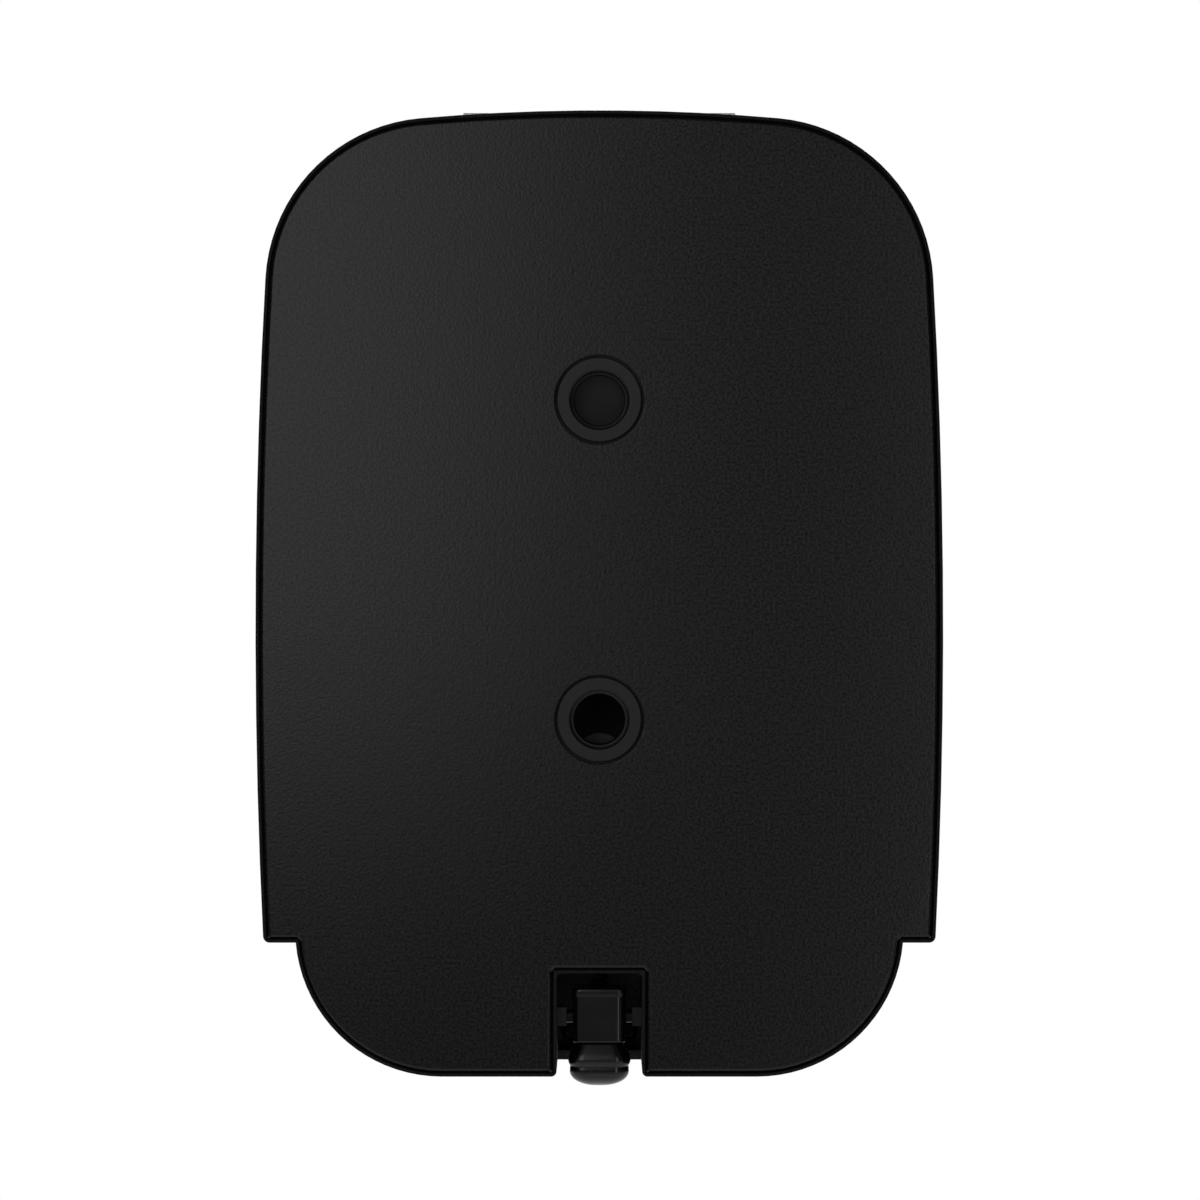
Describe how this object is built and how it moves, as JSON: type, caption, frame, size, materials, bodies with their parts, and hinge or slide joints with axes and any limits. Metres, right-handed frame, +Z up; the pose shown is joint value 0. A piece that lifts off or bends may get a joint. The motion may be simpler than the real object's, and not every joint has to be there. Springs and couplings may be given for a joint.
{
  "type": "pedestrian traffic light",
  "caption": "Black two-aspect pedestrian signal head with round lenses, wrap-around hood, top-hinged door, thumb latch and rear mounting sockets.",
  "frame": {"origin": "middle of the rear cover's flat outer face, half-way between the two mounting bushings", "axes": "+Y out of the rear face towards what carries the signal, +Z up, the lenses face -Y, +X to the right when looking at the lenses"},
  "size_m": [0.2064, 0.1535, 0.2981],
  "materials": {
    "black_steel": "black powder coat",
    "board_green": "solder mask over glass laminate",
    "board_white": "white solder mask",
    "brass_stud": "turned",
    "bushing_black": "smooth satin black",
    "capacitor_sleeve": "shrunk sleeve",
    "diffuser_green": "translucent green",
    "diffuser_red": "translucent red",
    "gloss_black": "smooth glossy black",
    "heatsink_aluminium": "extruded, bare",
    "hood_black": "fine moulded grain, near-black",
    "housing_black": "fine moulded grain, near-black",
    "inductor_core": "ferrite and tape",
    "led_clear": "epoxy dome",
    "lens_clear": "smoked polycarbonate, smooth",
    "mask_black": "printed matt black",
    "reflector_white": "white moulded reflector",
    "seal_rubber": "matt rubber",
    "terminal_grey": "moulded grey",
    "zinc_steel": "bright zinc plate"
  },
  "bodies": {
    "housing": {"rear_cover": "housing_black", "casing": "housing_black", "mount_plate": "black_steel", "mount_plate_screws": "zinc_steel", "cover_screws": "zinc_steel", "upper_bushing": "bushing_black", "upper_ring_nut": "zinc_steel", "lower_bushing": "bushing_black", "lower_ring_nut": "zinc_steel", "upper_socket_plug": "bushing_black", "cable_entry_grommet": "seal_rubber", "driver_board": "board_green", "board_screws": "zinc_steel", "driver_inductor": "inductor_core", "driver_capacitor_1": "capacitor_sleeve", "driver_capacitor_2": "capacitor_sleeve", "driver_heatsink": "heatsink_aluminium", "terminal_block": "terminal_grey", "terminal_screws": "zinc_steel", "earth_stud": "brass_stud", "vent_plug": "bushing_black", "hinge_pin_right": "zinc_steel", "hinge_pin_left": "zinc_steel", "latch_pin": "zinc_steel", "latch_bearing_right": "bushing_black", "latch_bearing_left": "bushing_black", "latch_spring": "zinc_steel"},
    "door": {"door_frame": "housing_black", "door_gasket": "seal_rubber", "hood": "hood_black", "hood_screws": "zinc_steel", "hood_baffle": "housing_black", "latch_keeper": "zinc_steel", "keeper_screws": "zinc_steel", "red_lens_seal": "seal_rubber", "red_lens": "lens_clear", "red_mask": "mask_black", "red_diffuser": "diffuser_red", "red_chamber": "reflector_white", "red_led_board": "board_white", "red_leds": "led_clear", "red_clamp": "black_steel", "red_clamp_screws": "zinc_steel", "green_lens_seal": "seal_rubber", "green_lens": "lens_clear", "green_mask": "mask_black", "green_diffuser": "diffuser_green", "green_chamber": "reflector_white", "green_led_board": "board_white", "green_leds": "led_clear", "green_clamp": "black_steel", "green_clamp_screws": "zinc_steel"},
    "latch": {"latch_lever": "gloss_black", "thumb_cap": "gloss_black"}
  },
  "joints": [
    {"name": "door_hinge", "type": "hinge", "parent": "housing", "child": "door", "pos_m": [0, -0.0565, 0.1367], "axis": [-1, 0, 0], "range_deg": [0, 85]},
    {"name": "latch_pivot", "type": "hinge", "parent": "housing", "child": "latch", "pos_m": [0, -0.013, -0.138], "axis": [-1, 0, 0], "range_deg": [0, 8], "stiffness_Nm_per_rad": 0.3, "springref_deg": -5.73, "deforming": ["latch_spring"]}
  ]
}
